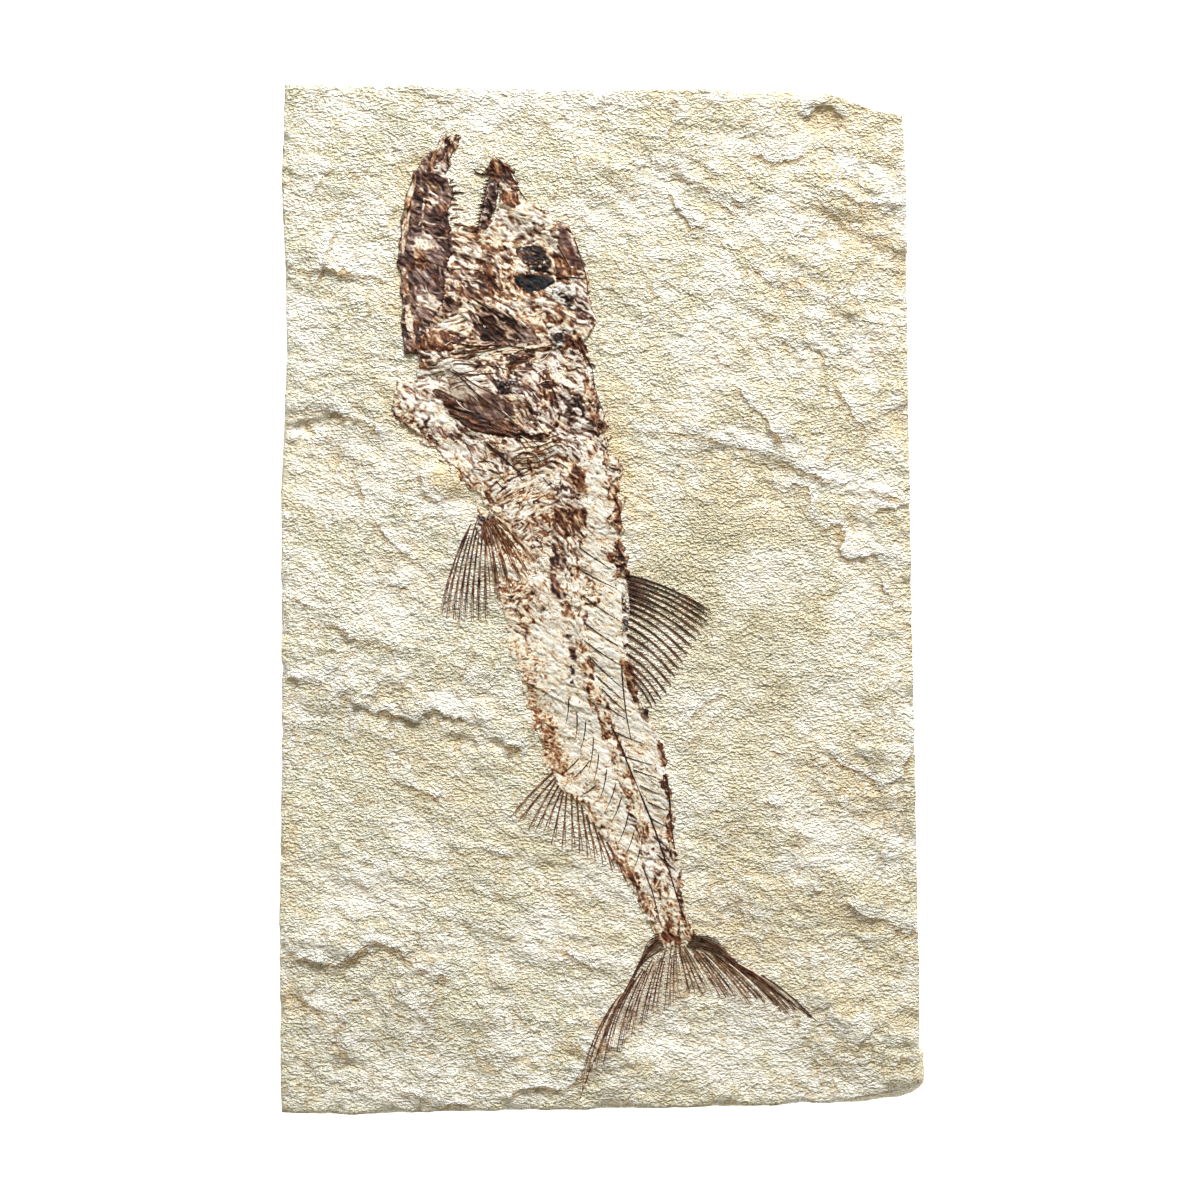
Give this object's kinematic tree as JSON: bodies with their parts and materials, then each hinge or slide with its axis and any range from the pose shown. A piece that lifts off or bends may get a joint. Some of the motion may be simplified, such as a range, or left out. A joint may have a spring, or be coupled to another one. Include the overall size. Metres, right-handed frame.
{
  "type": "fossil fish slab",
  "caption": "Split plate of pale limestone with a flattened fossil fish in low relief, jaws open, fins and forked tail spread.",
  "frame": {"origin": "middle of the slab's underside, at the centre of its bounding box", "axes": "+Z out of the fish face, which looks up as the slab lies flat; +Y from the tail towards the head; +X towards the fish's back"},
  "size_m": [0.1346, 0.2168, 0.0117],
  "materials": {
    "stone": "cream limestone, split, matt and finely grained, with tan stain",
    "jaw_bone": "dark purple-brown fossil bone, faint sheen on broken faces",
    "head_bone": "crushed fossil bone, mixed dark brown, rust and cream flakes",
    "eye_film": "blue-black mineral film with a slight sheen",
    "back_bone": "rust-brown fossil bone, lumpy",
    "pale_bone": "pale fossil bone, chalky",
    "belly_bone": "orange-brown granular fossil bone",
    "fin_bone": "dark red-brown fossil fin rays"
  },
  "bodies": {
    "root": {"limestone": "stone", "lower_jaw": "jaw_bone", "upper_jaw": "jaw_bone", "skull": "head_bone", "eye": "eye_film", "gill_cover": "head_bone", "shoulder_girdle": "head_bone", "backbone": "pale_bone", "back_scutes": "back_bone", "belly_band": "belly_bone", "lower_scutes": "belly_bone", "pectoral_fin": "fin_bone", "dorsal_fin": "fin_bone", "anal_fin": "fin_bone", "tail_fin": "fin_bone"}
  },
  "joints": []
}
